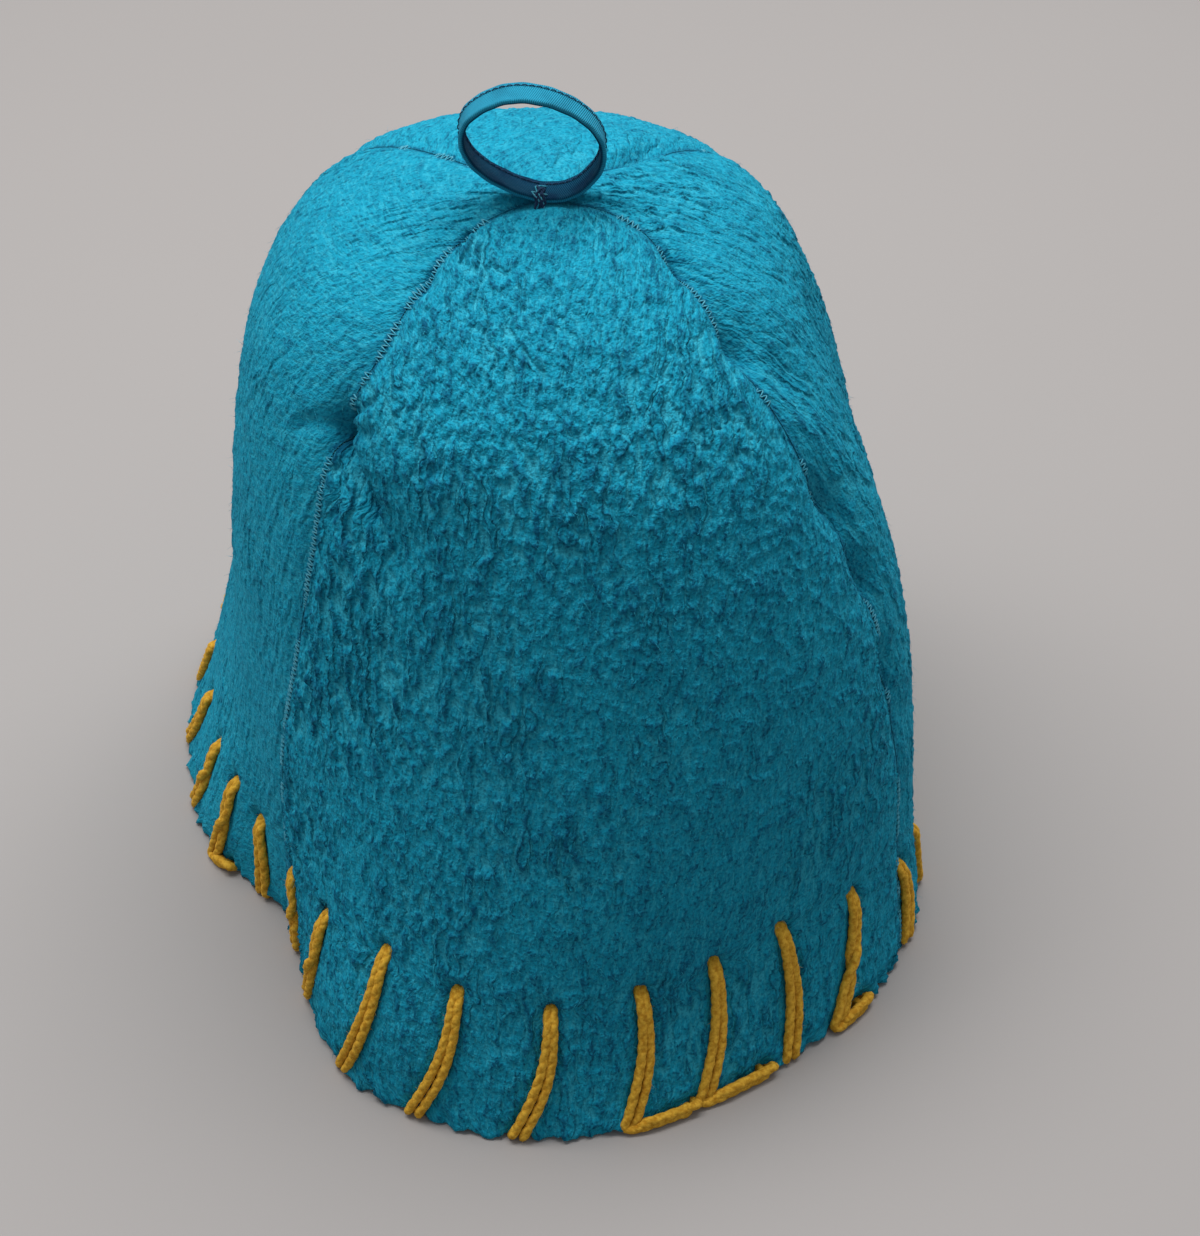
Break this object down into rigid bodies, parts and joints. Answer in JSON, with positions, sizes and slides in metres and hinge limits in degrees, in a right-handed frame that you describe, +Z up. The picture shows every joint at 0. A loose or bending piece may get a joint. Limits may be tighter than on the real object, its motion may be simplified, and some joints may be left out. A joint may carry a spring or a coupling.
{
  "type": "sauna hat",
  "caption": "Tall felt sauna hat of sewn petals with a flared wavy rim and a tape hanging loop on the crown.",
  "frame": {"origin": "bottom centre of the hat's box, on the surface that the rim rests on", "axes": "+Z up through the crown, front of the hat towards -Y, +X to the viewer's right when facing the front"},
  "size_m": [0.2284, 0.283, 0.2487],
  "materials": {
    "felt": "thick turquoise felt with a soft raised nap",
    "loop_tape": "folded twill tape, steel blue, slightly shiny",
    "yarn": "plied wool yarn, mustard",
    "thread": "fine sewing thread, pale turquoise"
  },
  "bodies": {
    "root": {"front_panel": "felt", "right_panel": "felt", "back_panel": "felt", "left_panel": "felt", "hanging_loop": "loop_tape"}
  },
  "joints": []
}
